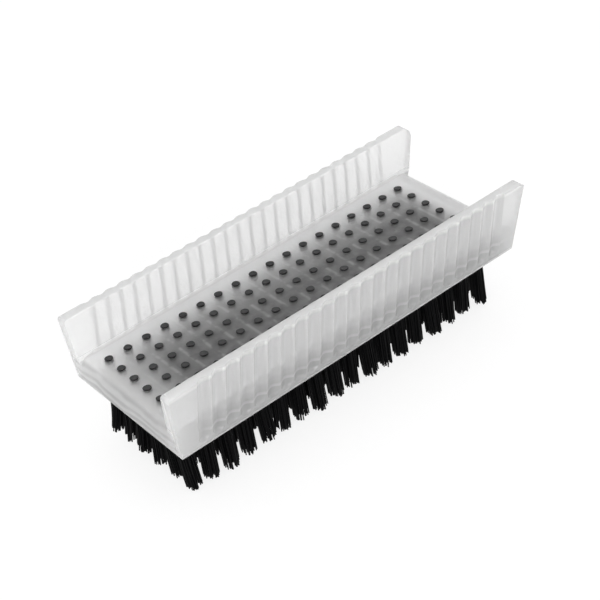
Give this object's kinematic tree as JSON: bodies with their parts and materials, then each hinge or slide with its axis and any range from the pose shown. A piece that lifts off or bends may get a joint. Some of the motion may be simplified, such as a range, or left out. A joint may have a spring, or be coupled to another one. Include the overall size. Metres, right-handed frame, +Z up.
{
  "type": "nail brush",
  "caption": "Nail brush with a frosted clear channel-shaped handle, two fluted wings to hold it by, and dense black bristle tufts below.",
  "frame": {"origin": "under the middle of the handle, on the plane that the bristle tips stand on", "axes": "+X along the brush towards the end with the rounder wing corners, +Y across it towards one wing, +Z up out of the channel between the wings"},
  "size_m": [0.1208, 0.0492, 0.0393],
  "materials": {
    "frosted_plastic": "frosted, translucent",
    "black_nylon": "satin filament"
  },
  "bodies": {
    "root": {"handle": "frosted_plastic", "tuft_column_01": "black_nylon", "tuft_column_02": "black_nylon", "tuft_column_03": "black_nylon", "tuft_column_04": "black_nylon", "tuft_column_05": "black_nylon", "tuft_column_06": "black_nylon", "tuft_column_07": "black_nylon", "tuft_column_08": "black_nylon", "tuft_column_09": "black_nylon", "tuft_column_10": "black_nylon", "tuft_column_11": "black_nylon", "tuft_column_12": "black_nylon", "tuft_column_13": "black_nylon", "tuft_column_14": "black_nylon", "tuft_column_15": "black_nylon", "tuft_column_16": "black_nylon", "tuft_column_17": "black_nylon", "tuft_column_18": "black_nylon"}
  },
  "joints": []
}
